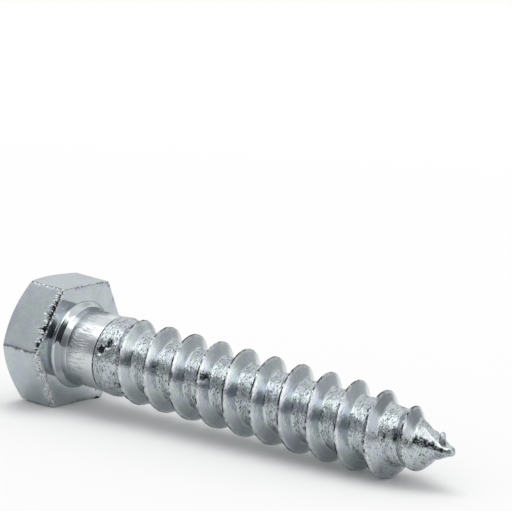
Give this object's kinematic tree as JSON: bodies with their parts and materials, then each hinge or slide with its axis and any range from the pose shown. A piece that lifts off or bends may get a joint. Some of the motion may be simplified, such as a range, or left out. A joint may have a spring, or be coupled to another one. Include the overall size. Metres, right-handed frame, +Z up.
{
  "type": "hex head lag screw",
  "caption": "Zinc plated hex head screw with a plain neck, a coarse right-hand thread and a gimlet point, driven by a spanner or socket into wood or sheet metal.",
  "frame": {"origin": "centre of the bounding box at the level of the surface that the screw lies on", "axes": "+X along the lying screw from its head to its tip, +Z up, +Y to the left of someone who looks along +X"},
  "size_m": [0.0558, 0.0162, 0.0143],
  "materials": {
    "zinc": "bright zinc plate over steel, smooth on the head and neck and rough in the roots of the thread"
  },
  "bodies": {
    "root": {"hex_screw": "zinc"}
  },
  "joints": []
}
